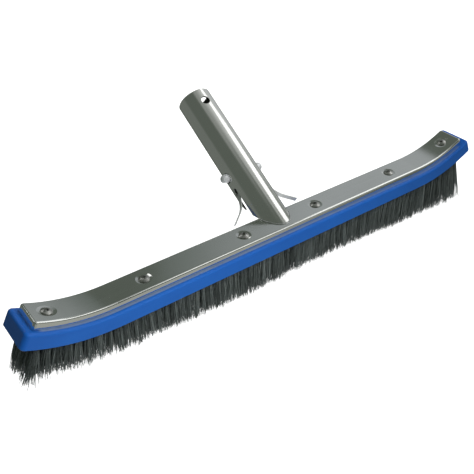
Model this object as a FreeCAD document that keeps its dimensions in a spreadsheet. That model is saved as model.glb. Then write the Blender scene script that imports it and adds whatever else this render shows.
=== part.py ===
import FreeCAD, Part
import math
import os
import Sketcher

# Pool wall brush: a long moulded head whose two ends sweep upwards, backed by a polished metal channel
# that six screws hold down, with a leaning tube welded on for the pole.
# The origin is the middle of the bristle tips' plane: +X runs along the head, +Y towards the leaning
# tube, +Z up. Lengths are in millimetres and angles in degrees.

doc = FreeCAD.newDocument("pool_wall_brush")

DIMENSIONS = {
    # the head's side view: a straight middle, then an arc at each end, given on the channel's top face
    "top_height": 52.0,
    "half_straight": 162.8,
    "bend_radius": 135.7,
    "channel_end_angle": 26.4,
    "body_end_angle": 28.8,
    # back channel
    "channel_width": 25.5,
    "channel_height": 6.2,
    "sheet_thickness": 1.5,
    "channel_edge_radius": 1.9,
    "channel_corner_radius": 2.6,
    "fit_gap": 0.1,
    # moulded body
    "body_width": 34.0,
    "body_depth": 20.0,
    "ledge_radius": 2.5,
    "body_corner_radius": 4.0,
    "body_lip": 0.9,
    # screws, by their distance along the channel's top face
    "screw_inner": 39.65,
    "screw_middle": 134.1,
    "screw_outer": 211.1,
    "dimple_radius": 6.5,
    "dimple_depth": 0.8,
    "screw_hole_radius": 2.3,
    "pilot_radius": 1.8,
    "head_radius": 4.3,
    "head_height": 1.9,
    "head_edge": 0.6,
    "head_seat": 0.45,
    "shank_radius": 2.1,
    "shank_length": 11.5,
    "shank_point": 3.0,
    "recess_reach": 2.7,
    "recess_width": 1.3,
    "recess_depth": 1.6,
    # handle tube, by stations along its axis from where it crosses the channel's top plane
    "tube_radius": 15.875,
    "tube_wall": 1.5,
    "tube_tilt": 30.5,
    "tube_offset": 23.6,
    "tube_start": -35.0,
    "tube_end": 122.4,
    "tube_rim": 0.4,
    "cross_hole_radius": 4.1,
    "cross_hole_station": 109.5,
    "slot_width": 5.0,
    "slot_end": 25.5,
    "button_hole_radius": 4.75,
    "button_hole_station": 37.1,
    "weld_radius": 0.8,
    "weld_half_angle": 68.0,
    # spring clip
    "clip_width": 4.5,
    "clip_thickness": 1.0,
    "bend_half_gap": 4.0,
    "hinge_station": 95.0,
    "hinge_gap": 0.15,
    "arm_track": 13.3,
    "arm_track_top": 44.0,
    "arm_track_bottom": 22.0,
    "wing_knee_x": 17.6,
    "wing_knee_station": 11.5,
    "wing_bend_x": 24.9,
    "wing_bend_station": 1.9,
    "wing_radius": 23.5,
    "wing_tip_x": 34.2,
    "wing_tip_station": -5.4,
    "eye_radius": 0.51,
    # lock buttons
    "button_station": 37.5,
    "button_radius": 4.0,
    "button_reach": 22.2,
    "stem_radius": 1.5,
    "stem_gap": 0.05,
    "peened_radius": 2.4,
    "peened_height": 0.9,
    # bristles
    "row_pitch": 6.5,
    "row_width": 5.0,
    "row_depth": 7.0,
    "row_left_angle": 25.0,
    "row_right_angle": 22.2,
    "row_tip_left": 240.0,
    "row_tip_right": 233.0,
    "trim_start": 110.0,
    "trim_rise": 14.0,
    # staples that hold the tufts
    "tuft_pitch": 6.75,
    "anchor_width": 4.4,
    "anchor_height": 1.8,
    "anchor_thickness": 0.4,
    # how far a tool or a joined block runs past the face it meets
    "overrun": 1.0,
}

sheet = doc.addObject("Spreadsheet::Sheet", "dimensions")
for row, (alias, number) in enumerate(DIMENSIONS.items(), start=1):
    sheet.set(f"A{row}", alias)
    sheet.set(f"B{row}", str(number))
    sheet.setAlias(f"B{row}", alias)
doc.recompute()

X_AXIS = FreeCAD.Vector(1, 0, 0)
Y_AXIS = FreeCAD.Vector(0, 1, 0)
Z_AXIS = FreeCAD.Vector(0, 0, 1)
TOLERANCE = 1e-3
EDGE_SAMPLES = 5


def dim(name):
    """A dimension's plain number."""
    return float(sheet.get(name))


def ref(name):
    """A dimension's name as expressions write it."""
    return f"dimensions.{name}"


def value(expression):
    """The number that an expression stands for."""
    return float(sheet.evalExpression(str(expression)))


# ---------------------------------------------------------------- shared building steps


def new_body(label):
    body = doc.addObject("PartDesign::Body", label)
    body.Label = label
    return body


def new_sketch(body, name, plane):
    sketch = body.newObject("Sketcher::SketchObject", name)
    for feature in body.Origin.OriginFeatures:
        if feature.Role == plane:
            sketch.AttachmentSupport = (feature, [""])
    sketch.MapMode = "FlatFace"
    return sketch


def bind(sketch, constraint, expression):
    """Add a constraint and tie its size to an expression over the sheet."""
    index = sketch.addConstraint(constraint)
    sketch.setExpression(f"Constraints[{index}]", str(expression))


def arc_between(start, end, radius, centre_on_left):
    """The shorter arc between two points, with its centre to the left or right of the way it runs."""
    chord = end - start
    middle = (start + end) / 2
    across = FreeCAD.Vector(-chord.y, chord.x, 0).normalize()
    reach = math.sqrt(max(radius ** 2 - (chord.Length / 2) ** 2, 0))
    centre = middle + across * (reach if centre_on_left else -reach)
    first, last = (start, end) if centre_on_left else (end, start)
    first_angle = math.atan2(first.y - centre.y, first.x - centre.x)
    last_angle = math.atan2(last.y - centre.y, last.x - centre.x)
    if last_angle < first_angle:
        last_angle += 2 * math.pi
    return Part.ArcOfCircle(Part.Circle(centre, Z_AXIS, radius), first_angle, last_angle)


def closed_outline(sketch, corners, arcs=None):
    """Draw a closed outline through corners, each a pair of expressions.

    arcs maps the number of a side, which starts at the corner of that number, to its radius and to
    whether its centre lies on the left of the way it runs.
    """
    arcs = arcs or {}
    points = [FreeCAD.Vector(value(x), value(y), 0) for x, y in corners]
    starts = []
    for number, start in enumerate(points):
        end = points[(number + 1) % len(points)]
        if number in arcs:
            radius, centre_on_left = arcs[number]
            side = sketch.addGeometry(arc_between(start, end, value(radius), centre_on_left))
            starts.append((side, 1 if centre_on_left else 2))
            bind(sketch, Sketcher.Constraint("Radius", side, value(radius)), radius)
        else:
            starts.append((sketch.addGeometry(Part.LineSegment(start, end)), 1))
    for number, (side, first) in enumerate(starts):
        next_side, next_first = starts[(number + 1) % len(starts)]
        last = 3 - first
        sketch.addConstraint(Sketcher.Constraint("Coincident", side, last, next_side, next_first))
        for kind, expression in zip(("DistanceX", "DistanceY"), corners[number]):
            place = Sketcher.Constraint(kind, -1, 1, side, first, value(expression))
            bind(sketch, place, expression)


def circle(sketch, x, y, radius):
    side = sketch.addGeometry(Part.Circle(FreeCAD.Vector(value(x), value(y), 0), Z_AXIS, value(radius)))
    bind(sketch, Sketcher.Constraint("Radius", side, value(radius)), radius)
    bind(sketch, Sketcher.Constraint("DistanceX", -1, 1, side, 3, value(x)), x)
    bind(sketch, Sketcher.Constraint("DistanceY", -1, 1, side, 3, value(y)), y)


def extrude(body, kind, sketch, length, symmetric=True):
    """A Pad, or a Pocket, of a sketch."""
    feature = body.newObject(f"PartDesign::{kind}", f"{sketch.Name}_{kind.lower()}")
    feature.Profile = sketch
    feature.Midplane = symmetric
    feature.setExpression("Length", str(length))
    doc.recompute()
    return feature


def dress(body, kind, edges_of, size):
    """A Fillet or a Chamfer on the edges of the body's tip that a test picks."""
    base = body.Tip
    picked = [
        f"Edge{number}"
        for number, edge in enumerate(base.Shape.Edges, start=1)
        if edges_of(edge)
    ]
    feature = body.newObject(f"PartDesign::{kind}", f"{body.Name}_{kind.lower()}")
    feature.Base = (base, picked)
    feature.setExpression("Radius" if kind == "Fillet" else "Size", str(size))
    doc.recompute()
    return feature


def edge_points(edge):
    first, last = edge.ParameterRange
    step = (last - first) / (EDGE_SAMPLES - 1)
    return [edge.valueAt(first + step * number) for number in range(EDGE_SAMPLES)]


def height_in_head(point):
    """How far a point stands above the channel's top face, along that face's own normal."""
    past = abs(point.x) - dim("half_straight")
    level = point.z - dim("top_height")
    if past <= 0:
        return level
    return dim("bend_radius") - math.hypot(past, dim("bend_radius") - level)


def at_height(edge, height):
    """Does this edge run at one height over the channel's top face, all along?"""
    return all(abs(height_in_head(point) - height) < TOLERANCE for point in edge_points(edge))


def on_end_upright(edge, half_width, end_angle):
    """Is this edge one of the four short ones down the corners at the head's ends?"""
    along = [
        math.degrees(
            math.atan2(
                abs(point.x) - dim("half_straight"),
                dim("bend_radius") + dim("top_height") - point.z,
            )
        )
        for point in edge_points(edge)
    ]
    at_side = all(abs(abs(point.y) - half_width) < TOLERANCE for point in edge_points(edge))
    return at_side and all(abs(angle - end_angle) < TOLERANCE for angle in along)


def band(sketch, low, high, end_angle):
    """The head's side view between two depths below the channel's top face, both positive down."""
    straight = ref("half_straight")

    def end_corner(side, depth):
        radius = f"({ref('bend_radius')} + {depth})"
        x = f"{side} * ({straight} + {radius} * sin({end_angle}))"
        z = f"{ref('top_height')} + {ref('bend_radius')} - {radius} * cos({end_angle})"
        return x, z

    def middle_corner(side, depth):
        return f"{side} * {straight}", f"{ref('top_height')} - {depth}"

    corners = [
        middle_corner(-1, high),
        middle_corner(1, high),
        end_corner(1, high),
        end_corner(1, low),
        middle_corner(1, low),
        middle_corner(-1, low),
        end_corner(-1, low),
        end_corner(-1, high),
    ]
    upper = f"{ref('bend_radius')} + {high}"
    lower = f"{ref('bend_radius')} + {low}"
    arcs = {1: (upper, True), 3: (lower, False), 5: (lower, False), 7: (upper, True)}
    closed_outline(sketch, corners, arcs)


def head_place(distance, depth):
    """The placement at a signed distance along the channel's top face, with +Z along its normal."""
    past = abs(distance) - dim("half_straight")
    side = math.copysign(1, distance)
    angle = math.degrees(max(past, 0) / dim("bend_radius"))
    radius = dim("bend_radius") + depth
    if past <= 0:
        base = FreeCAD.Vector(distance, 0, dim("top_height") - depth)
    else:
        base = FreeCAD.Vector(
            side * (dim("half_straight") + radius * math.sin(math.radians(angle))),
            0,
            dim("top_height") + dim("bend_radius") - radius * math.cos(math.radians(angle)),
        )
    return FreeCAD.Placement(base, FreeCAD.Rotation(Y_AXIS, -side * angle))


SCREW_PLACES = [
    side * dim(name)
    for side in (-1, 1)
    for name in ("screw_inner", "screw_middle", "screw_outer")
]


def bored_at_screws(blank, label, tools_at):
    """Cut the same tools out of a blank at each of the screws' places."""
    tools = []
    for distance in SCREW_PLACES:
        tools += tools_at(distance)
    group = doc.addObject("Part::Compound", f"{label}_tools")
    group.Links = tools
    cut = doc.addObject("Part::Cut", label)
    cut.Base = blank
    cut.Tool = group
    cut.Label = label
    doc.recompute()
    return cut


def bore_tool(distance, depth, radius):
    """A round tool from above the head down to a depth, along the normal at this distance."""
    tool = doc.addObject("Part::Cylinder", "bore_tool")
    tool.setExpression("Radius", ref(radius))
    tool.setExpression("Height", f"{ref('channel_height')} + {depth}")
    tool.Placement = head_place(distance, value(depth))
    return tool


# ---------------------------------------------------------------- head


def make_brush_body():
    """The moulded block: a ledge all round, and a raised core that fills the channel."""
    blank = new_body("body_blank")
    end_angle = ref("body_end_angle")
    ledge = f"({ref('channel_height')} + {ref('fit_gap')} / 2)"

    block = new_sketch(blank, "block_outline", "XZ_Plane")
    band(block, ref("body_depth"), ledge, end_angle)
    extrude(blank, "Pad", block, ref("body_width"))
    half_width = dim("body_width") / 2
    dress(blank, "Fillet", lambda edge: on_end_upright(edge, half_width, dim("body_end_angle")),
          ref("body_corner_radius"))
    dress(blank, "Fillet", lambda edge: at_height(edge, -value(ledge)), ref("ledge_radius"))
    dress(blank, "Chamfer", lambda edge: at_height(edge, -dim("body_depth")), ref("body_lip"))

    core = new_sketch(blank, "core_outline", "XZ_Plane")
    inset = f"({ref('sheet_thickness')} + {ref('fit_gap')})"
    core_angle = f"({ref('channel_end_angle')} - {inset} / {ref('bend_radius')} * 180 / pi)"
    band(core, f"({ref('channel_height')} + {ref('overrun')})", inset, core_angle)
    extrude(blank, "Pad", core, f"{ref('channel_width')} - 2 * {inset}")

    pilot_depth = f"({ref('shank_length')} + {ref('head_seat')} + {ref('fit_gap')})"
    return bored_at_screws(
        blank,
        "brush_body",
        lambda distance: [bore_tool(distance, pilot_depth, "pilot_radius")],
    )


def make_back_channel():
    """A shallow pan of sheet metal, turned down along both sides and both ends."""
    blank = new_body("channel_blank")
    outer = new_sketch(blank, "pan_outline", "XZ_Plane")
    band(outer, ref("channel_height"), "0", ref("channel_end_angle"))
    extrude(blank, "Pad", outer, ref("channel_width"))
    half_width = dim("channel_width") / 2
    dress(blank, "Fillet",
          lambda edge: on_end_upright(edge, half_width, dim("channel_end_angle")),
          ref("channel_corner_radius"))
    dress(blank, "Fillet", lambda edge: at_height(edge, 0), ref("channel_edge_radius"))

    inner = new_sketch(blank, "pan_hollow", "XZ_Plane")
    inner_angle = (
        f"({ref('channel_end_angle')} - {ref('sheet_thickness')} / {ref('bend_radius')} * 180 / pi)"
    )
    band(inner, f"({ref('channel_height')} + {ref('overrun')})", ref("sheet_thickness"), inner_angle)
    extrude(blank, "Pocket", inner, f"{ref('channel_width')} - 2 * {ref('sheet_thickness')}")

    depth = ref("dimple_depth")
    dimple_sphere = f"(({ref('dimple_radius')}^2 + {depth}^2) / (2 * {depth}))"

    def tools_at(distance):
        dimple = doc.addObject("Part::Sphere", "dimple_tool")
        dimple.setExpression("Radius", dimple_sphere)
        dimple.Placement = head_place(distance, dim("dimple_depth") - value(dimple_sphere))
        hole = bore_tool(distance, f"({ref('channel_height')} / 2)", "screw_hole_radius")
        return [dimple, hole]

    return bored_at_screws(blank, "back_channel", tools_at)


def make_screws():
    """Oval-headed self-tapping screws with a cross recess, one for each place."""
    master = new_body("screw_master")
    profile = new_sketch(master, "screw_profile", "XZ_Plane")
    seat = f"-{ref('head_seat')}"
    foot = f"-{ref('head_seat')} - {ref('shank_length')}"
    crown = f"{ref('head_height')} - {ref('head_seat')}"
    rim = f"{ref('head_edge')} - {ref('head_seat')}"
    rise = f"({ref('head_height')} - {ref('head_edge')})"
    crown_radius = f"(({ref('head_radius')}^2 + {rise}^2) / (2 * {rise}))"
    corners = [
        ("0", foot),
        (ref("shank_radius"), f"{foot} + {ref('shank_point')}"),
        (ref("shank_radius"), seat),
        (ref("head_radius"), seat),
        (ref("head_radius"), rim),
        ("0", crown),
    ]
    closed_outline(profile, corners, {4: (crown_radius, True)})
    turned = master.newObject("PartDesign::Revolution", "screw_turned")
    turned.Profile = profile
    turned.ReferenceAxis = (profile, ["V_Axis"])
    turned.Angle = 360
    doc.recompute()
    floor = f"({crown} - {ref('recess_depth')})"
    for name, plane in (("recess_along", "XZ_Plane"), ("recess_across", "YZ_Plane")):
        slot = new_sketch(master, name, plane)
        reach = ref("recess_reach")
        corners = [
            (f"-{reach} / 3", floor),
            (f"{reach} / 3", floor),
            (reach, f"{crown} + {ref('overrun')}"),
            (f"-{reach}", f"{crown} + {ref('overrun')}"),
        ]
        closed_outline(slot, corners)
        extrude(master, "Pocket", slot, ref("recess_width"))
    shapes = []
    for distance in SCREW_PLACES:
        screw = master.Shape.copy()
        screw.Placement = head_place(distance, 0)
        shapes.append(screw)
    return grouped("channel_screws", shapes)


def grouped(label, shapes):
    """One sub-part made of several separate solids."""
    group = doc.addObject("Part::Feature", label)
    group.Shape = Part.makeCompound(shapes)
    group.Label = label
    return group


# ---------------------------------------------------------------- bristles

ROWS = {"front": -2, "front_mid": -1, "centre": 0, "rear_mid": 1, "rear": 2}


def make_bristle_row(name, steps):
    """One row of tufts as a plain strip: its top is set into the body, and its tips are trimmed flat,
    except that they rise towards the left end."""
    body = new_body(f"bristle_row_{name}")
    outline = new_sketch(body, f"row_outline_{name}", "XZ_Plane")
    straight = ref("half_straight")
    depth = f"({ref('body_depth')} - {ref('row_depth')})"
    radius = f"({ref('bend_radius')} + {depth})"

    def end_corner(side, angle):
        x = f"{side} * ({straight} + {radius} * sin({ref(angle)}))"
        z = f"{ref('top_height')} + {ref('bend_radius')} - {radius} * cos({ref(angle)})"
        return x, z

    middle_z = f"{ref('top_height')} - {depth}"
    corners = [
        (f"-{straight}", middle_z),
        (straight, middle_z),
        end_corner(1, "row_right_angle"),
        (ref("row_tip_right"), "0"),
        (f"-{ref('trim_start')}", "0"),
        (f"-{ref('row_tip_left')}", ref("trim_rise")),
        end_corner(-1, "row_left_angle"),
    ]
    closed_outline(outline, corners, {1: (radius, True), 6: (radius, True)})
    extrude(body, "Pad", outline, ref("row_width"))
    body.setExpression("Placement.Base.y", f"{steps} * {ref('row_pitch')}")
    return body


def make_anchors(name, steps):
    """The flat staples that pin one row's tufts into the body, one to a tuft."""

    def tufts_within(angle):
        reach = dim("half_straight") + math.radians(dim(angle)) * dim("bend_radius")
        return round(reach / dim("tuft_pitch"))

    depth = dim("body_depth") - dim("row_depth") + dim("anchor_height")
    plate = Part.makeBox(dim("anchor_thickness"), dim("anchor_width"), dim("anchor_height"))
    centred = FreeCAD.Vector(-dim("anchor_thickness") / 2, -dim("anchor_width") / 2, 0)
    shapes = []
    for number in range(-tufts_within("row_left_angle"), tufts_within("row_right_angle")):
        anchor = plate.copy()
        anchor.translate(centred)
        place = head_place((number + 0.5) * dim("tuft_pitch"), depth)
        place.Base.y = steps * dim("row_pitch")
        anchor.Placement = place.multiply(anchor.Placement)
        shapes.append(anchor)
    return grouped(f"tuft_anchors_{name}", shapes)


# ---------------------------------------------------------------- handle

# Pieces of the handle are drawn with +Z along the tube, X as in the head and -Y on the tube's upper side.
HANDLE = FreeCAD.Placement(
    FreeCAD.Vector(0, dim("tube_offset"), dim("top_height")),
    FreeCAD.Rotation(X_AXIS, dim("tube_tilt") - 90),
)


def lean(body):
    """Put a piece of the handle in its place on the head."""
    body.Placement = HANDLE
    body.setExpression("Placement.Base.y", ref("tube_offset"))
    body.setExpression("Placement.Base.z", ref("top_height"))
    body.setExpression("Placement.Rotation.Angle", f"{ref('tube_tilt')} - 90")


def make_handle_tube():
    """The tube, cut along the channel's top at its foot, with a slot up each side for the clip."""
    body = new_body("handle_tube")
    ring = new_sketch(body, "tube_ring", "XY_Plane")
    circle(ring, "0", "0", ref("tube_radius"))
    circle(ring, "0", "0", f"{ref('tube_radius')} - {ref('tube_wall')}")
    ring.setExpression("AttachmentOffset.Base.z", ref("tube_start"))
    extrude(body, "Pad", ring, f"{ref('tube_end')} - {ref('tube_start')}", symmetric=False)

    def at_rim(edge):
        return all(abs(point.z - dim("tube_end")) < TOLERANCE for point in edge_points(edge))

    dress(body, "Fillet", at_rim, ref("tube_rim"))

    across = f"4 * {ref('tube_radius')}"
    beyond = f"(2 * {ref('tube_radius')})"
    below = f"({ref('tube_start')} - {beyond})"
    slope = f"tan({ref('tube_tilt')})"
    foot = new_sketch(body, "foot_plane", "YZ_Plane")
    closed_outline(
        foot,
        [
            (f"-{beyond}", f"-{beyond} / {slope}"),
            (f"-{beyond}", below),
            (beyond, below),
            (beyond, f"{beyond} / {slope}"),
        ],
    )
    extrude(body, "Pocket", foot, across)

    slots = new_sketch(body, "side_slots", "YZ_Plane")
    half = f"({ref('slot_width')} / 2)"
    straight_end = f"({ref('slot_end')} - {half})"
    closed_outline(
        slots,
        [
            (f"-{half}", below),
            (half, below),
            (half, straight_end),
            ("0", ref("slot_end")),
            (f"-{half}", straight_end),
        ],
        {2: (half, True), 3: (half, True)},
    )
    extrude(body, "Pocket", slots, across)

    cross = new_sketch(body, "cross_hole", "XZ_Plane")
    circle(cross, "0", ref("cross_hole_station"), ref("cross_hole_radius"))
    extrude(body, "Pocket", cross, across)
    button = new_sketch(body, "button_hole", "YZ_Plane")
    circle(button, "0", ref("button_hole_station"), ref("button_hole_radius"))
    extrude(body, "Pocket", button, across)
    lean(body)
    return body


def make_foot_weld():
    """A round bead along the curve where the tube's outer wall meets the channel's top."""
    radius = dim("tube_radius")
    centre = FreeCAD.Vector(0, dim("tube_offset"), dim("top_height"))
    long_radius = radius / math.sin(math.radians(dim("tube_tilt")))
    curve = Part.Ellipse(
        centre - Y_AXIS * long_radius,
        centre + X_AXIS * radius,
        centre,
    )
    half = math.radians(dim("weld_half_angle"))
    path = Part.Wire([curve.toShape(-half, half)])
    start = curve.value(-half)
    bead = Part.Wire([Part.makeCircle(dim("weld_radius"), start, curve.tangent(-half)[0])])
    weld = doc.addObject("Part::Feature", "foot_weld")
    weld.Shape = path.makePipeShell([bead], True, False)
    weld.Label = "foot_weld"
    return weld


# ---------------------------------------------------------------- spring clip


def make_clip_bend():
    """The closed end of the clip: a half ring, stopping just short of the two arms' eyes."""
    body = new_body("clip_bend")
    outline = new_sketch(body, "bend_outline", "XZ_Plane")
    half = f"({ref('clip_thickness')} / 2)"
    outer = f"({ref('bend_half_gap')} + {half})"
    inner = f"({ref('bend_half_gap')} - {half})"
    foot = f"({ref('hinge_station')} + {half} + {ref('hinge_gap')})"
    spring = f"({foot} + {half})"
    corners = [
        (f"-{outer}", foot),
        (f"-{outer}", spring),
        ("0", f"{spring} + {outer}"),
        (outer, spring),
        (outer, foot),
        (inner, foot),
        (inner, spring),
        ("0", f"{spring} + {inner}"),
        (f"-{inner}", spring),
        (f"-{inner}", foot),
    ]
    arcs = {1: (outer, False), 2: (outer, False), 6: (inner, True), 7: (inner, True)}
    closed_outline(outline, corners, arcs)
    extrude(body, "Pad", outline, ref("clip_width"))
    lean(body)
    return body


def strip_corner(before, corner, after, offset):
    """Where the strip's face, offset to the left of the centre line, turns at a corner."""
    first = math.atan2(corner[1] - before[1], corner[0] - before[0])
    second = math.atan2(after[1] - corner[1], after[0] - corner[0])
    bisector = (first + second) / 2
    reach = offset / math.cos((second - first) / 2)
    return corner[0] - reach * math.sin(bisector), corner[1] + reach * math.cos(bisector)


def make_clip_arm(name, side):
    """One arm: an eye at the hinge, the stretch that carries the button, and the wing outside."""
    body = new_body(f"clip_arm_{name}")
    outline = new_sketch(body, f"arm_outline_{name}", "XZ_Plane")
    half = dim("clip_thickness") / 2
    centre_line = [
        (-dim("bend_half_gap"), dim("hinge_station")),
        (-dim("arm_track"), dim("arm_track_top")),
        (-dim("arm_track"), dim("arm_track_bottom")),
        (-dim("wing_knee_x"), dim("wing_knee_station")),
        (-dim("wing_bend_x"), dim("wing_bend_station")),
        (-dim("wing_tip_x"), dim("wing_tip_station")),
    ]

    def face(offset):
        hinge, tip = centre_line[0], centre_line[-1]
        back = (2 * hinge[0] - centre_line[1][0], 2 * hinge[1] - centre_line[1][1])
        beyond = (2 * tip[0] - centre_line[-2][0], 2 * tip[1] - centre_line[-2][1])
        line = [back] + centre_line + [beyond]
        return [strip_corner(*line[number:number + 3], offset) for number in range(len(line) - 2)]

    outside, inside = face(-half), face(half)
    corners = [(str(-side * x), str(z)) for x, z in outside + inside[::-1]]
    # the sides of the outline that bend, out at the wing and back again, and the one round the eye
    wing_out = 3
    eye = len(corners) - 1
    wing_back = eye - 1 - wing_out
    arcs = {
        wing_out: (dim("wing_radius") - half, side > 0),
        wing_back: (dim("wing_radius") + half, side < 0),
        eye: (ref("eye_radius"), side < 0),
    }
    closed_outline(outline, corners, arcs)
    extrude(body, "Pad", outline, ref("clip_width"))

    hole = new_sketch(body, f"stem_hole_{name}", "YZ_Plane")
    circle(hole, "0", ref("button_station"), f"{ref('stem_radius')} + {ref('stem_gap')}")
    extrude(body, "Pocket", hole, f"4 * {ref('tube_radius')}")
    lean(body)
    return body


def make_lock_button(name, side):
    """A domed button with a stem through the arm, peened over on the inside."""
    body = new_body(f"lock_button_{name}")
    profile = new_sketch(body, f"button_profile_{name}", "XZ_Plane")
    half = f"({ref('clip_thickness')} / 2)"
    outer_face = f"({ref('arm_track')} + {half})"
    inner_face = f"({ref('arm_track')} - {half})"
    station = ref("button_station")
    radius = ref("button_radius")
    shoulder = f"({ref('button_reach')} - {radius})"
    stem = ref("stem_radius")
    peened = ref("peened_radius")
    corners = [
        (f"{side} * {ref('button_reach')}", station),
        (f"{side} * {shoulder}", f"{station} + {radius}"),
        (f"{side} * {outer_face}", f"{station} + {radius}"),
        (f"{side} * {outer_face}", f"{station} + {stem}"),
        (f"{side} * {inner_face}", f"{station} + {stem}"),
        (f"{side} * {inner_face}", f"{station} + {peened}"),
        (f"{side} * ({inner_face} - {ref('peened_height')})", f"{station} + {peened} / 2"),
        (f"{side} * ({inner_face} - {ref('peened_height')})", station),
    ]
    closed_outline(profile, corners, {0: (radius, side > 0)})
    axis = profile.addGeometry(
        Part.LineSegment(FreeCAD.Vector(0, value(station), 0), FreeCAD.Vector(1, value(station), 0)), True
    )
    bind(profile, Sketcher.Constraint("DistanceY", -1, 1, axis, 1, value(station)), station)
    profile.addConstraint(Sketcher.Constraint("Horizontal", axis))
    turned = body.newObject("PartDesign::Revolution", f"button_turned_{name}")
    turned.Profile = profile
    turned.ReferenceAxis = (profile, ["Axis0"])
    turned.Angle = 360
    doc.recompute()
    lean(body)
    return body


# ---------------------------------------------------------------- the whole brush

sub_parts = [make_brush_body(), make_back_channel(), make_screws()]
sub_parts += [make_bristle_row(name, steps) for name, steps in ROWS.items()]
sub_parts += [make_anchors(name, steps) for name, steps in ROWS.items()]
sub_parts += [make_handle_tube(), make_foot_weld(), make_clip_bend()]
for name, side in (("left", -1), ("right", 1)):
    sub_parts += [make_clip_arm(name, side), make_lock_button(name, side)]

doc.recompute()
for thing in doc.Objects:
    if "Invalid" in thing.State or "Error" in thing.State:
        raise RuntimeError(f"{thing.Name} failed: {thing.State}")
for sub_part in sub_parts:
    if sub_part.Shape.isNull() or not sub_part.Shape.isValid():
        raise RuntimeError(f"{sub_part.Label} has no valid shape")
os.makedirs("parts", exist_ok=True)
for sub_part in sub_parts:
    sub_part.Shape.exportStep(f"parts/{sub_part.Label}.step")
    solids = len(sub_part.Shape.Solids)
    print(f"{sub_part.Label}: {solids} solids, {sub_part.Shape.Volume / 1000:.3f} cm3")
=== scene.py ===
import math

import bpy
import numpy as np
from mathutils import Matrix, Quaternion, Vector


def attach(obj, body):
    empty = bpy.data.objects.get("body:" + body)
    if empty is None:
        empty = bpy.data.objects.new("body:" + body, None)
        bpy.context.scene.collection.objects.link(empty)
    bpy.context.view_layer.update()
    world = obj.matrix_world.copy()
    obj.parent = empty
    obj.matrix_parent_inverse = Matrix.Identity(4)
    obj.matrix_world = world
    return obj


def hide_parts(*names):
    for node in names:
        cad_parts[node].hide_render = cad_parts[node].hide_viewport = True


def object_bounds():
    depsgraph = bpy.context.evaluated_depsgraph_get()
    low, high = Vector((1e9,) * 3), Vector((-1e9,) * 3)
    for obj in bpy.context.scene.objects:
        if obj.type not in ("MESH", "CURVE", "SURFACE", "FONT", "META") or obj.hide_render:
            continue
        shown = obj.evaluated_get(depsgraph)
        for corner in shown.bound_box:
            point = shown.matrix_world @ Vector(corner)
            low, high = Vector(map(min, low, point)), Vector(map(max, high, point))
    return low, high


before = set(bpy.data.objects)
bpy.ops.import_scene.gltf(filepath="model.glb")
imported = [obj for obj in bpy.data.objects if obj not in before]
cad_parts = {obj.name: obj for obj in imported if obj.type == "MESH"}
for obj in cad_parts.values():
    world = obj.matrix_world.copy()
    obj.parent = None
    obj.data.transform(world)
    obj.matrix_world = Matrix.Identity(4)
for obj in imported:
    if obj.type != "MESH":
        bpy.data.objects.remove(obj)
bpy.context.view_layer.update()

MM = 0.001

# ---------------------------------------------------------------- the head's shape, as in the CAD

HALF_STRAIGHT = 162.8 * MM
BEND_RADIUS = 135.7 * MM
TOP_HEIGHT = 52.0 * MM
BODY_DEPTH = 20.0 * MM
TUBE_TILT = math.radians(30.5)
TUBE_OFFSET = 23.6 * MM
TUBE_RADIUS = 15.875 * MM
TUBE_AXIS = (0, math.cos(TUBE_TILT), math.sin(TUBE_TILT))
CROSS_HOLE_STATION = 109.5 * MM
CROSS_HOLE_RADIUS = 4.15 * MM


def head_point(distance, depth):
    """A point at a signed distance along the metal back's top, and the direction down and out of it."""
    past = max(abs(distance) - HALF_STRAIGHT, 0)
    side = math.copysign(1, distance)
    angle = past / BEND_RADIUS
    radius = BEND_RADIUS + depth
    x = side * (min(abs(distance), HALF_STRAIGHT) + radius * math.sin(angle))
    z = TOP_HEIGHT + BEND_RADIUS - radius * math.cos(angle)
    return np.array((x, 0, z)), np.array((side * math.sin(angle), 0, -math.cos(angle)))


def direction(azimuth, elevation):
    """The unit vector towards an azimuth, from +Y round by +X, and an elevation, in degrees."""
    azimuth, elevation = math.radians(azimuth), math.radians(elevation)
    return Vector((
        math.sin(azimuth) * math.cos(elevation),
        math.cos(azimuth) * math.cos(elevation),
        math.sin(elevation),
    ))


# ---------------------------------------------------------------- camera

CAMERA_PLACE = (-0.3054, -0.3410, 0.3640)
CAMERA_AZIMUTH, CAMERA_ELEVATION, CAMERA_ROLL = 37.43, -36.18, 0.72  # degrees
CAMERA_SHIFT = (-0.0043, 0.0045)
SENSOR_WIDTH, LENS = 36, 49.14  # millimetres
CLIP_START = 0.01

camera_data = bpy.data.cameras.new("camera")
camera_data.sensor_width = SENSOR_WIDTH
camera_data.lens = LENS
camera_data.shift_x, camera_data.shift_y = CAMERA_SHIFT
camera_data.clip_start = CLIP_START
camera = bpy.data.objects.new("camera", camera_data)
bpy.context.scene.collection.objects.link(camera)
look = direction(CAMERA_AZIMUTH, CAMERA_ELEVATION).to_track_quat("-Z", "Y")
camera.rotation_mode = "QUATERNION"
camera.rotation_quaternion = look @ Quaternion((0, 0, 1), math.radians(CAMERA_ROLL))
camera.location = CAMERA_PLACE
bpy.context.scene.camera = camera

# ---------------------------------------------------------------- materials


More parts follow.
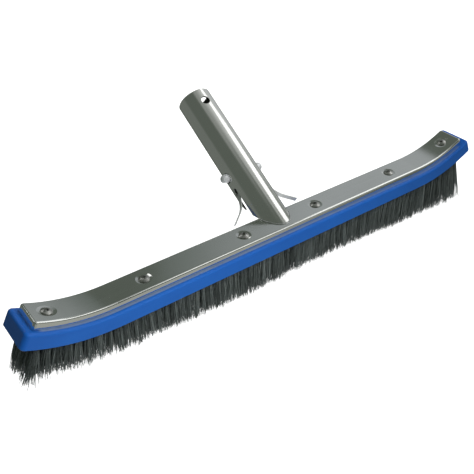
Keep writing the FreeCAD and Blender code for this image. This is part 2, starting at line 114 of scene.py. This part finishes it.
class Nodes:
    """A node tree with short calls to add nodes and join them."""

    def __init__(self, tree):
        self.tree = tree
        tree.nodes.clear()

    def add(self, kind, links=None, **settings):
        node = self.tree.nodes.new(kind)
        for name, setting in settings.items():
            setattr(node, name, setting)
        for socket, source in (links or {}).items():
            self.feed(node, socket, source)
        return node

    def feed(self, node, socket, source):
        """Join a node's output, or set a plain value, to an input socket."""
        if isinstance(source, bpy.types.NodeSocket):
            self.tree.links.new(source, node.inputs[socket])
        else:
            node.inputs[socket].default_value = source

    def math(self, operation, *values):
        return self.add("ShaderNodeMath", dict(enumerate(values)), operation=operation).outputs[0]

    def between(self, source, at_nought, at_one):
        """A source that runs from nought to one, made to run between two other values."""
        return self.math("MULTIPLY_ADD", source, at_one - at_nought, at_nought)

    def weighted(self, first, *others):
        """A sum of sources, each given with its weight."""
        total = self.math("MULTIPLY", *first)
        for source, weight in others:
            total = self.math("MULTIPLY_ADD", source, weight, total)
        return total

    def vector(self, operation, *values):
        node = self.add("ShaderNodeVectorMath", dict(enumerate(values)), operation=operation)
        return node.outputs["Value"] if operation in ("DOT_PRODUCT", "LENGTH") else node.outputs[0]

    def ramp(self, source, *stops):
        """A colour ramp; each stop is a position and a grey or a colour."""
        node = self.add("ShaderNodeValToRGB", {0: source})
        elements = node.color_ramp.elements
        while len(elements) < len(stops):
            elements.new(0.5)
        for element, (place, colour) in zip(elements, stops):
            element.position = place
            grey = isinstance(colour, (int, float))
            element.color = (colour, colour, colour, 1) if grey else (*colour, 1)
        return node.outputs[0]

    def noise(self, place, scale, detail=3.0, roughness=0.5):
        node = self.add(
            "ShaderNodeTexNoise",
            {"Vector": place, "Scale": scale, "Detail": detail, "Roughness": roughness},
        )
        return node.outputs["Fac"]

    def mix(self, factor, first, second, blend="MIX"):
        node = self.add("ShaderNodeMix", data_type="RGBA", blend_type=blend)
        for socket, source in ((0, factor), (6, first), (7, second)):
            self.feed(node, socket, source)
        return node.outputs[2]

    def place(self, stretch=(1, 1, 1), turn=(0, 0, 0)):
        """The point on the object, turned and stretched, for textures."""
        spot = self.add("ShaderNodeTexCoord").outputs["Object"]
        mapping = self.add("ShaderNodeMapping", {"Vector": spot, "Rotation": turn, "Scale": stretch})
        return mapping.outputs[0]

    def step(self, source, edge, soft):
        """Nought below an edge and one above it, rising evenly over a soft distance on both sides."""
        links = {"Value": source, "From Min": edge - soft, "From Max": edge + soft}
        return self.add("ShaderNodeMapRange", links).outputs[0]

    def window(self, source, low, high, soft):
        """One between two limits and nought outside them, with both limits softened."""
        sides = []
        for edge, before, after in ((low, 0.0, 1.0), (high, 1.0, 0.0)):
            links = {"Value": source, "From Min": edge - soft, "From Max": edge + soft}
            links.update({"To Min": before, "To Max": after})
            node = self.add("ShaderNodeMapRange", links, interpolation_type="SMOOTHSTEP")
            sides.append(node.outputs[0])
        return self.math("MULTIPLY", *sides)

    def bump(self, height, distance, strength):
        links = {"Height": height, "Distance": distance, "Strength": strength}
        return self.add("ShaderNodeBump", links).outputs[0]


def new_material(name):
    material = bpy.data.materials.new(name)
    material.use_nodes = True
    nodes = Nodes(material.node_tree)
    shader = nodes.add("ShaderNodeBsdfPrincipled")
    output = nodes.add("ShaderNodeOutputMaterial")
    nodes.feed(output, "Surface", shader.outputs[0])
    return material, nodes, shader


def srgb(*levels):
    """A colour from its eight-bit display levels."""
    return tuple(
        (level / 255 / 12.92) if level <= 10 else ((level / 255 + 0.055) / 1.055) ** 2.4
        for level in levels
    )


def rgba(*levels):
    return (*srgb(*levels), 1)


# how many times a metre each pattern repeats along the metal's length and across it
STREAKS, BROAD_STREAKS, METAL_SCUFFS = (14, 900, 900), (5, 160, 160), (60, 420, 420)
METAL_CLOUDS = 26.0
STREAK_DEPTH = 0.04 * MM
METAL_SCUFF_ROUGHNESS = 0.07


def drawn_metal(name, colour, smooth, rough, turn, anisotropy):
    """Aluminium polished along its length: fine streaks, soft clouds of haze and a few scuffs."""
    material, nodes, shader = new_material(name)
    streaks = nodes.noise(nodes.place(STREAKS, turn), 1.0, detail=4.0, roughness=0.6)
    broad = nodes.noise(nodes.place(BROAD_STREAKS, turn), 1.0, detail=2.0)
    clouds = nodes.noise(nodes.place(), METAL_CLOUDS, detail=4.0, roughness=0.65)
    scuff = nodes.noise(nodes.place(METAL_SCUFFS, turn), 1.0, detail=6.0, roughness=0.75)
    scuff = nodes.ramp(scuff, (0.60, 0), (0.72, 1))
    tone = nodes.math("MULTIPLY", nodes.between(streaks, 0.94, 1.06), nodes.between(clouds, 0.93, 1.07))
    tint = nodes.mix(1.0, (*colour, 1), nodes.ramp(tone, (0.0, 0.0), (1.0, 1.0)), "MULTIPLY")
    haze = nodes.weighted((broad, 0.5), (clouds, 0.5))
    roughness = nodes.between(haze, smooth, rough)
    roughness = nodes.math("MULTIPLY_ADD", scuff, METAL_SCUFF_ROUGHNESS, roughness)
    height = nodes.weighted((broad, 0.5), (streaks, 0.7))
    nodes.feed(shader, "Base Color", tint)
    nodes.feed(shader, "Roughness", roughness)
    nodes.feed(shader, "Normal", nodes.bump(height, STREAK_DEPTH, 0.4))
    shader.inputs["Metallic"].default_value = 1.0
    shader.inputs["Anisotropic"].default_value = anisotropy
    return material, nodes, shader, tint, roughness


# painted shade: the dark colour given to the bore and the cross hole's walls, standing in for the shadow
# inside the tube
BORE_SHADE = (0.05, 0.052, 0.048, 1)
BORE_ROUGHNESS = 0.45
# how deep in the tube's wall the polish ends and the painted shade of the bore begins, and how sharply it
# changes there and round the cross hole
POLISH_DEPTH, POLISH_SOFT, HOLE_SOFT = 1.0 * MM, 0.3 * MM, 0.05 * MM


def tube_aluminium():
    """The tube's metal: polished outside, and dull inside the bore, where painted shade darkens the bore
    and the cross hole's walls.
    """
    material, nodes, shader, tint, roughness = drawn_metal(
        "tube_metal", (0.84, 0.84, 0.82), smooth=0.10, rough=0.20, turn=(TUBE_TILT, 0, 0), anisotropy=0.4
    )
    spot = nodes.add("ShaderNodeTexCoord").outputs["Object"]
    from_axis = nodes.vector("SUBTRACT", spot, (0, TUBE_OFFSET, TOP_HEIGHT))
    along = nodes.vector("DOT_PRODUCT", from_axis, TUBE_AXIS)
    foot = nodes.add("ShaderNodeVectorMath", {0: TUBE_AXIS, "Scale": along}, operation="SCALE").outputs[0]
    radius = nodes.vector("LENGTH", nodes.vector("SUBTRACT", from_axis, foot))
    from_hole = nodes.math("SUBTRACT", along, CROSS_HOLE_STATION)
    sideways = nodes.add("ShaderNodeSeparateXYZ", {0: spot}).outputs["X"]
    from_hole = nodes.add("ShaderNodeCombineXYZ", {0: from_hole, 1: sideways}).outputs[0]
    outside = nodes.math(
        "MULTIPLY",
        nodes.step(radius, TUBE_RADIUS - POLISH_DEPTH, POLISH_SOFT),
        nodes.step(nodes.vector("LENGTH", from_hole), CROSS_HOLE_RADIUS, HOLE_SOFT),
    )
    # painted shade: dark inside the bore and on the cross hole's walls, polished metal elsewhere
    nodes.feed(shader, "Base Color", nodes.mix(outside, BORE_SHADE, tint))
    bore_roughness = nodes.between(outside, BORE_ROUGHNESS, 0.0)
    nodes.feed(shader, "Roughness", nodes.math("ADD", roughness, bore_roughness))
    return material


# where the ledge carries a painted sheen: how far out from the head's middle line, and how far along it
SHEEN_SIDE, SHEEN_SIDE_SOFT = (12.0 * MM, 14.4 * MM), 0.6 * MM
SHEEN_END, SHEEN_END_SOFT = 221 * MM, 2 * MM
# the middle and half the length of the stretch where it fades to half strength, towards +X
SHEEN_FADE, SHEEN_FADE_SOFT = 60 * MM, 90 * MM
# how far up a surface faces before it carries the painted sheen
SHEEN_FACING, SHEEN_FACING_SOFT = 0.45, 0.15


def seam_sheen(nodes, clouds):
    """Where the ledge beside the metal back is painted paler, a painted sheen of the light it catches:
    nought to one.
    """
    coordinates = nodes.add("ShaderNodeTexCoord")
    x, y, _ = nodes.add("ShaderNodeSeparateXYZ", {0: coordinates.outputs["Object"]}).outputs
    facing = nodes.add("ShaderNodeSeparateXYZ", {0: coordinates.outputs["Normal"]}).outputs["Z"]
    # painted sheen: paler only beside the metal back, on faces that look upwards, and weaker towards +X
    beside = nodes.window(nodes.math("ABSOLUTE", y), *SHEEN_SIDE, SHEEN_SIDE_SOFT)
    upward = nodes.step(facing, SHEEN_FACING, SHEEN_FACING_SOFT)
    along = nodes.window(x, -SHEEN_END, SHEEN_END, SHEEN_END_SOFT)
    strength = nodes.between(nodes.step(x, SHEEN_FADE, SHEEN_FADE_SOFT), 1.0, 0.5)
    sheen = nodes.between(clouds, 0.42, 0.92)
    for share in (beside, upward, along, strength):
        sheen = nodes.math("MULTIPLY", sheen, share)
    return sheen


# the plastic's patterns, as times a metre that each repeats
PLASTIC_CLOUDS, ORANGE_PEEL, PLASTIC_GRAIN = 18.0, 260.0, 1300.0
PLASTIC_FLOW, PLASTIC_SCUFFS = (8, 60, 60), (90, 700, 500)
SKIN_DEPTH = 0.05 * MM


def blue_plastic():
    """Moulded plastic: a soft gloss, a fine orange-peel skin, and chalky scuffs."""
    material, nodes, shader = new_material("body_blue")
    clouds = nodes.noise(nodes.place(), PLASTIC_CLOUDS, detail=5.0, roughness=0.6)
    flow = nodes.noise(nodes.place(PLASTIC_FLOW), 1.0, detail=3.0)
    grain = nodes.noise(nodes.place(), PLASTIC_GRAIN, detail=2.0)
    peel = nodes.noise(nodes.place(), ORANGE_PEEL, detail=2.0)
    shade = nodes.weighted((flow, 0.4), (clouds, 0.6))
    colour = nodes.ramp(
        shade, (0.25, srgb(20, 88, 176)), (0.55, srgb(24, 98, 190)), (0.85, srgb(34, 110, 200))
    )
    scuff = nodes.noise(nodes.place(PLASTIC_SCUFFS), 1.0, detail=5.0, roughness=0.7)
    scuff = nodes.ramp(scuff, (0.66, 0), (0.78, 1))
    colour = nodes.mix(nodes.math("MULTIPLY", scuff, 0.16), colour, rgba(120, 150, 205))
    # painted sheen: the ledge beside the metal back is made paler, standing in for the light it catches
    # there
    colour = nodes.mix(seam_sheen(nodes, clouds), colour, rgba(150, 166, 190))
    nodes.feed(shader, "Base Color", colour)
    roughness = nodes.between(clouds, 0.36, 0.52)
    nodes.feed(shader, "Roughness", nodes.math("MULTIPLY_ADD", scuff, 0.15, roughness))
    skin = nodes.weighted((grain, 0.35), (peel, 1.0))
    nodes.feed(shader, "Normal", nodes.bump(skin, SKIN_DEPTH, 0.45))
    shader.inputs["IOR"].default_value = 1.5
    shader.inputs["Specular IOR Level"].default_value = 0.35
    return material


# small metal parts: grime and grain as times a metre, how dark the grime is, and how deep the grain
GRIME_PATCHES, STEEL_GRAIN = 420.0, 2600.0
GRIME_SHADE = 0.45
GRAIN_DEPTH = 0.03 * MM


def small_metal(name, colour, smooth, rough, grime, metallic=1.0):
    """Plain metal with grime in patches."""
    material, nodes, shader = new_material(name)
    clouds = nodes.noise(nodes.place(), GRIME_PATCHES, detail=5.0, roughness=0.65)
    grain = nodes.noise(nodes.place(), STEEL_GRAIN, detail=2.0)
    patch = nodes.ramp(clouds, (0.42, 0), (0.66, 1))
    dark = tuple(level * GRIME_SHADE for level in colour)
    tint = nodes.mix(nodes.math("MULTIPLY", patch, grime), (*colour, 1), (*dark, 1))
    nodes.feed(shader, "Base Color", tint)
    nodes.feed(shader, "Roughness", nodes.between(clouds, smooth, rough))
    nodes.feed(shader, "Normal", nodes.bump(grain, GRAIN_DEPTH, 0.4))
    shader.inputs["Metallic"].default_value = metallic
    return material


SPECKLE = 900.0  # times a metre


def bristle_grey():
    """Dull grey filaments, each of its own tone, with painted shade darkening them towards the roots."""
    material, nodes, shader = new_material("bristle_grey")
    shade = nodes.add("ShaderNodeAttribute", attribute_name="shade").outputs["Fac"]
    reach = nodes.add("ShaderNodeAttribute", attribute_name="reach").outputs["Fac"]
    speckle = nodes.noise(nodes.place(), SPECKLE, detail=2.0)
    colour = nodes.ramp(
        shade, (0.0, srgb(66, 73, 72)), (0.5, srgb(102, 110, 109)), (1.0, srgb(146, 155, 154))
    )
    # painted shade: darker towards the roots, where the filaments crowd under the head
    root_shade = nodes.ramp(reach, (0.0, 0.5), (0.3, 0.85), (1.0, 1.0))
    colour = nodes.mix(1.0, colour, root_shade, "MULTIPLY")
    colour = nodes.mix(1.0, colour, nodes.ramp(speckle, (0.3, 0.86), (0.7, 1.0)), "MULTIPLY")
    nodes.feed(shader, "Base Color", colour)
    nodes.feed(shader, "Roughness", nodes.between(speckle, 0.42, 0.62))
    shader.inputs["Specular IOR Level"].default_value = 0.4
    return material


channel_metal = drawn_metal(
    "channel_metal", (0.80, 0.81, 0.79), smooth=0.08, rough=0.16, turn=(0, 0, 0), anisotropy=0.3
)[0]
weld_metal = small_metal("weld_metal", (0.72, 0.73, 0.73), smooth=0.25, rough=0.45, grime=0.5)
screw_steel = small_metal("screw_steel", (0.54, 0.54, 0.52), smooth=0.22, rough=0.45, grime=0.8)
clip_steel = small_metal("clip_steel", (0.74, 0.75, 0.75), smooth=0.28, rough=0.45, grime=0.3)
button_metal = small_metal(
    "button_metal", (0.86, 0.87, 0.89), smooth=0.35, rough=0.5, grime=0.15, metallic=0.45
)
anchor_wire = small_metal("anchor_wire", (0.60, 0.48, 0.24), smooth=0.3, rough=0.5, grime=0.4)

CAD_MATERIALS = {
    "brush_body": blue_plastic(),
    "back_channel": channel_metal,
    "channel_screws": screw_steel,
    "handle_tube": tube_aluminium(),
    "clip_bend": clip_steel,
    "clip_arm_left": clip_steel,
    "clip_arm_right": clip_steel,
    "lock_button_left": button_metal,
    "lock_button_right": button_metal,
}
# the five rows of tufts, each with its steps behind the middle one
ROWS = {"front": -2, "front_mid": -1, "centre": 0, "rear_mid": 1, "rear": 2}
for row in ROWS:
    CAD_MATERIALS[f"tuft_anchors_{row}"] = anchor_wire
for node_name, material in CAD_MATERIALS.items():
    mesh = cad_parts[node_name].data
    mesh.materials.clear()
    mesh.materials.append(material)

# ---------------------------------------------------------------- pieces made here


def tube_faces(first, rings, sides):
    """The faces of a closed tube, whose rings of points start at a given number."""
    faces = []
    last = first + (rings - 1) * sides
    for ring in range(first, last, sides):
        for side in range(sides):
            a, b = ring + side, ring + (side + 1) % sides
            faces.append((a, b, b + sides, a + sides))
    faces.append(tuple(reversed(range(first, first + sides))))
    faces.append(tuple(range(last, last + sides)))
    return faces


def new_piece(name, points, faces, material):
    """A piece whose four-sided faces are shaded smooth."""
    mesh = bpy.data.meshes.new(name)
    mesh.from_pydata(points, [], faces)
    mesh.polygons.foreach_set("use_smooth", [len(face) == 4 for face in faces])
    mesh.materials.append(material)
    piece = bpy.data.objects.new(name, mesh)
    bpy.context.scene.collection.objects.link(piece)
    return piece


# ---------------------------------------------------------------- bristles

ROW_PITCH = 6.5 * MM
TUFT_PITCH = 6.75 * MM
TUFTS = range(-33, 32)  # one fewer at the +X end
ROOT_RADIUS = 2.5 * MM
ROOT_SHAPE = (1.18, 1, 1)
ROOT_SINK = 1.0 * MM
FILAMENTS = 84
CLUMPS = 6
SIDES = 3
RINGS = 4
FILAMENT_RADII = (0.22, 0.29)  # millimetres at the root
TAPER = 0.4  # the share of its radius that a filament loses

# the line that the tips are trimmed to: places along the head and heights there, in millimetres
TRIM_X = [-240, -215, -196, -165, -115, -82, -45, 0, 45, 80, 118, 166, 205, 238]
TRIM_Z = [17, 16, 10, 7.5, 5.5, 3.5, 1.0, 3.5, 3.8, 2.5, 0, -3, -4, -3.5]
# how far a tuft and a filament stray from that line, in millimetres
TUFT_RAGGED = (-0.5, 0.9)
TIP_RAGGED = 0.9
# how much longer the rear row is at the left end, from where, and over what length, in millimetres
REAR_DROP, REAR_DROP_START, REAR_DROP_LENGTH = 6, -180, 60
# how much of the root's own slant the tufts keep
LEAN_SHARE = 0.68
# how much wider a tuft fans out where the head bends
FAN = 1.6
# how far the tips part: whole clumps in millimetres, by their place at the root, and by chance
CLUMP_REACH = (0.3, 1.5)
SPLAY = 0.7
FILAMENT_DRIFT, TUFT_DRIFT, BEND_DRIFT = 0.45 * MM, 0.5 * MM, 0.5 * MM
# how much of that parting already shows half way down
EARLY_SHARE = 0.2
# how much the shade differs from tuft to tuft and from filament to filament, from nought to one
TUFT_SHADES, FILAMENT_SHADES = 0.16, 0.22


def flat_spread(draw, deviation, count):
    """Random sideways offsets, level with the floor."""
    offsets = draw.normal(0, deviation, (count, 3))
    offsets[:, 2] = 0
    return offsets


def tuft_curves(draw, distance, steps):
    """One tuft's filaments: the start, the pull and the end of each one's curve."""
    root, down = head_point(distance, BODY_DEPTH - ROOT_SINK)
    root[1] = steps * ROW_PITCH
    lean = down * (LEAN_SHARE, 1, 1)
    lean /= -lean[2]
    middle_x = (root[0] + lean[0] * root[2]) / MM
    trim = np.interp(middle_x, TRIM_X, TRIM_Z) + draw.uniform(*TUFT_RAGGED)
    rear = max(0.0, steps / max(ROWS.values()))
    trim -= rear * REAR_DROP * max(0.0, (REAR_DROP_START - middle_x) / REAR_DROP_LENGTH)
    spin = draw.uniform(0, 2 * math.pi, FILAMENTS)
    out = np.sqrt(draw.random(FILAMENTS)) * ROOT_RADIUS
    around = np.column_stack((np.cos(spin), np.sin(spin), np.zeros(FILAMENTS)))
    start = root + around * out[:, None] * ROOT_SHAPE
    bearings = draw.uniform(0, 2 * math.pi, CLUMPS)
    reaches = draw.uniform(*CLUMP_REACH, CLUMPS) * MM
    clumps = np.column_stack((np.cos(bearings), np.sin(bearings), np.zeros(CLUMPS))) * reaches[:, None]
    sideways = clumps[draw.integers(CLUMPS, size=FILAMENTS)] + around * out[:, None] * SPLAY
    sideways += flat_spread(draw, FILAMENT_DRIFT, FILAMENTS) + flat_spread(draw, TUFT_DRIFT, 1)
    sideways *= 1 + FAN * abs(down[0])
    tip = (trim + np.abs(draw.normal(0, TIP_RAGGED, FILAMENTS))) * MM
    fall = (start[:, 2] - tip)[:, None]
    end = start + lean * fall + sideways
    end[:, 2] = tip
    half_way = start + down * fall * 0.5
    pull = half_way + (end - start - down * fall) * EARLY_SHARE + flat_spread(draw, BEND_DRIFT, FILAMENTS)
    return start, pull, end


def make_bristle_row(name, steps, material):
    """One row of tufts: thin tapering filaments, bunched at the root and splayed into ragged tips."""
    draw = np.random.default_rng(steps - min(ROWS.values()))
    curves, shades = [], []
    for number in TUFTS:
        curves.append(np.stack(tuft_curves(draw, (number + 0.5) * TUFT_PITCH, steps)))
        middle_shade = 0.5 + draw.uniform(-TUFT_SHADES, TUFT_SHADES)
        shades.append(np.clip(draw.normal(middle_shade, FILAMENT_SHADES, FILAMENTS), 0, 1))
    start, pull, end = np.concatenate(curves, axis=1)
    shade = np.concatenate(shades)
    count = len(shade)
    thickness = draw.uniform(*FILAMENT_RADII, count) * MM
    twist = draw.uniform(0, 2 * math.pi, count)
    share = np.linspace(0, 1, RINGS)
    t = share[None, :, None]
    centres = start[:, None] * (1 - t) ** 2 + pull[:, None] * 2 * t * (1 - t) + end[:, None] * t ** 2
    theta = twist[:, None] + 2 * math.pi * np.arange(SIDES) / SIDES
    across = np.stack((np.cos(theta), np.sin(theta), np.zeros_like(theta)), axis=-1)
    radius = thickness[:, None] * (1 - TAPER * share ** 2)
    points = centres[:, :, None] + across[:, None] * radius[:, :, None, None]
    faces = []
    for first in range(0, count * RINGS * SIDES, RINGS * SIDES):
        # the rings follow one another downwards, so the faces are turned over to look outwards
        faces.extend(face[::-1] for face in tube_faces(first, RINGS, SIDES))
    tufts = new_piece(f"tufts_{name}", points.reshape(-1, 3).tolist(), faces, material)
    reach = np.broadcast_to(share[None, :, None], (count, RINGS, SIDES)).ravel()
    for attribute, values in (("shade", np.repeat(shade, RINGS * SIDES)), ("reach", reach)):
        layer = tufts.data.attributes.new(attribute, "FLOAT", "POINT")
        layer.data.foreach_set("value", values.astype(np.float32))
    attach(tufts, "root")
    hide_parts(f"bristle_row_{name}")


bristle_material = bristle_grey()
for row, steps in ROWS.items():
    make_bristle_row(row, steps, bristle_material)

# ---------------------------------------------------------------- weld

WELD_RADIUS = 0.8 * MM
WELD_HALF_ANGLE = math.radians(68)
WELD_STEPS, WELD_SIDES = 260, 14
RIPPLES = 40
RIPPLE_SEED = 7
# how much a ripple swells and how much one differs from the next, as shares of the bead's radius
RIPPLE_DEPTH, RIPPLE_WANDER = 0.12, 0.05
# how far a ripple's crest bows along the bead
RIPPLE_BOW = 0.25 * MM
# the bead's ends start at this share of its radius and fill out at this rate along its length
END_SHARE, END_RATE = 0.35, 12


def make_weld():
    """The bead round the front of the tube's foot, in overlapping ripples."""
    long_radius = TUBE_RADIUS / math.sin(TUBE_TILT)
    points = []
    wander = np.random.default_rng(RIPPLE_SEED).uniform(-1, 1, RIPPLES + 2)
    for step in range(WELD_STEPS + 1):
        share = step / WELD_STEPS
        angle = (2 * share - 1) * WELD_HALF_ANGLE
        centre = np.array((
            TUBE_RADIUS * math.sin(angle),
            TUBE_OFFSET - long_radius * math.cos(angle),
            TOP_HEIGHT,
        ))
        tangent = np.array((TUBE_RADIUS * math.cos(angle), long_radius * math.sin(angle), 0))
        tangent /= np.linalg.norm(tangent)
        outward = np.array((tangent[1], -tangent[0], 0))
        phase = share * RIPPLES
        # a half circle over each ripple, a little flattened so that its ends are not upright
        crest = math.sqrt(1 - 0.98 * (2 * (phase % 1) - 1) ** 2)
        width = WELD_RADIUS * (1 - RIPPLE_DEPTH + RIPPLE_DEPTH * crest)
        width *= 1 + RIPPLE_WANDER * wander[int(phase)]
        width *= min(1.0, END_SHARE + END_RATE * min(share, 1 - share))
        for side in range(WELD_SIDES):
            theta = 2 * math.pi * side / WELD_SIDES
            bow = RIPPLE_BOW * math.cos(theta) ** 2
            upward = np.array((0, 0, width * math.sin(theta)))
            points.append(tuple(centre + outward * width * math.cos(theta) + tangent * bow + upward))
    bead = new_piece("weld_bead", points, tube_faces(0, WELD_STEPS + 1, WELD_SIDES), weld_metal)
    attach(bead, "root")
    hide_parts("foot_weld")


make_weld()

# ---------------------------------------------------------------- floor, light and surroundings

FLOOR_REACH = 8.0
FLOOR_DROP = 0.3 * MM
FLOOR_CLOUDS = 4.0
FLOOR_GLOW = 0.9


def make_floor():
    """A pale floor that only the camera sees, so that what the metal reflects is set by the room."""
    material, nodes, shader = new_material("floor")
    clouds = nodes.noise(nodes.place(), FLOOR_CLOUDS)
    nodes.feed(shader, "Base Color", nodes.ramp(clouds, (0.0, 0.86), (1.0, 0.9)))
    shader.inputs["Roughness"].default_value = 0.9
    shader.inputs["Specular IOR Level"].default_value = 0.1
    shader.inputs["Emission Color"].default_value = (1, 1, 1, 1)
    shader.inputs["Emission Strength"].default_value = FLOOR_GLOW
    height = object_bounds()[0][2] - FLOOR_DROP
    sides = ((-1, -1), (1, -1), (1, 1), (-1, 1))
    corners = [(x * FLOOR_REACH, y * FLOOR_REACH, height) for x, y in sides]
    mesh = bpy.data.meshes.new("floor")
    mesh.from_pydata(corners, [], [(0, 1, 2, 3)])
    mesh.materials.append(material)
    floor = bpy.data.objects.new("floor", mesh)
    bpy.context.scene.collection.objects.link(floor)
    floor.visible_glossy = False
    floor.visible_diffuse = False
    floor.visible_shadow = False


make_floor()


def softbox(name, place, target, size, radiance, mirrored=True, spread=180):
    """A rectangle of light at one point, facing another, that shiny things mirror or don't."""
    light = bpy.data.lights.new(name, "AREA")
    light.shape = "RECTANGLE"
    light.size, light.size_y = size
    light.energy = radiance * math.pi * size[0] * size[1]
    light.spread = math.radians(spread)
    lamp = bpy.data.objects.new(name, light)
    bpy.context.scene.collection.objects.link(lamp)
    lamp.location = place
    lamp.rotation_mode = "QUATERNION"
    lamp.rotation_quaternion = (place - target).to_track_quat("Z", "Y")
    lamp.visible_camera = False
    lamp.visible_glossy = mirrored


MIDDLE = Vector((0, 0, 0))
FRONT_PLACE, FRONT_TARGET = Vector((-0.10, -0.42, 0.20)), Vector((-0.10, 0, 0.03))
softbox("softbox_right", direction(88, 42) * 1.6, MIDDLE, (0.70, 0.75), 1.05)
softbox("softbox_front", FRONT_PLACE, FRONT_TARGET, (0.40, 0.20), 2.6, mirrored=False, spread=120)
softbox("softbox_top", direction(95, 58) * 1.1, MIDDLE, (0.50, 0.50), 4.0, mirrored=False)
softbox("softbox_rear", direction(5, 20) * 0.9, MIDDLE, (0.60, 0.30), 2.0, mirrored=False)
softbox("softbox_back", direction(-12, 52) * 1.6, MIDDLE, (0.50, 0.40), 1.6)

BACKDROP = (0.95, 0.95, 0.95, 1)
ROOM_WALLS = (0.104, 0.120, 0.102, 1)
# the bright and dim parts of the room that the metal reflects: each one's azimuth limits, elevation
# limits and soft edge in degrees, and its colour, which is added to the walls'
ROOM_PARTS = (
    ((-82, -10), (-70, 14), 6, (0.05, 0.05, 0.05)),
    ((28.5, 66), (4, 45.5), 0.8, (0.05, 0.055, 0.06)),
    ((34, 75), (0, 45.5), 5, (0.11, 0.11, 0.12)),
    ((42, 75), (0, 45.5), 3, (0.09, 0.09, 0.10)),
    ((8, 58), (-29, -6), 3, (0.54, 0.54, 0.54)),
    ((56, 80), (-8, 26), 7, (0.18, 0.18, 0.18)),
    ((112, 142), (28, 46), 4, (1.3, 1.3, 1.3)),
    ((126, 148), (44, 58), 3, (1.5, 1.5, 1.5)),
    ((-181, 181), (-91, -62), 4, (0.95, 0.95, 0.95)),
    ((70, 106), (20, 64), 8, (0.25, 0.25, 0.25)),
    ((60, 130), (58, 78), 8, (0.30, 0.30, 0.30)),
    ((-181, 181), (78, 91), 6, (0.18, 0.18, 0.18)),
    ((135, 181), (-70, 5), 8, (0.28, 0.27, 0.25)),
    ((-181, -140), (-70, 5), 8, (0.20, 0.20, 0.20)),
)


def make_world():
    """Pale to the camera, and a dim studio to everything else."""
    world = bpy.data.worlds.new("studio")
    world.use_nodes = True
    bpy.context.scene.world = world
    nodes = Nodes(world.node_tree)
    way = nodes.vector("NORMALIZE", nodes.add("ShaderNodeTexCoord").outputs["Generated"])
    x, y, z = nodes.add("ShaderNodeSeparateXYZ", {0: way}).outputs
    azimuth = nodes.math("DEGREES", nodes.math("ARCTAN2", x, y))
    elevation = nodes.math("DEGREES", nodes.math("ARCSINE", z))
    glow = ROOM_WALLS
    for azimuths, elevations, soft, colour in ROOM_PARTS:
        across = nodes.window(azimuth, *azimuths, soft)
        up = nodes.window(elevation, *elevations, soft)
        glow = nodes.mix(nodes.math("MULTIPLY", across, up), glow, (*colour, 1), "ADD")
    seen = nodes.add("ShaderNodeLightPath").outputs["Is Camera Ray"]
    lit = nodes.add("ShaderNodeBackground", {"Color": glow, "Strength": 1.0})
    pale = nodes.add("ShaderNodeBackground", {"Color": BACKDROP, "Strength": 1.0})
    both = nodes.add("ShaderNodeMixShader", {0: seen, 1: lit.outputs[0], 2: pale.outputs[0]})
    output = nodes.add("ShaderNodeOutputWorld")
    nodes.feed(output, "Surface", both.outputs[0])


make_world()
bpy.context.scene.view_settings.view_transform = "Standard"
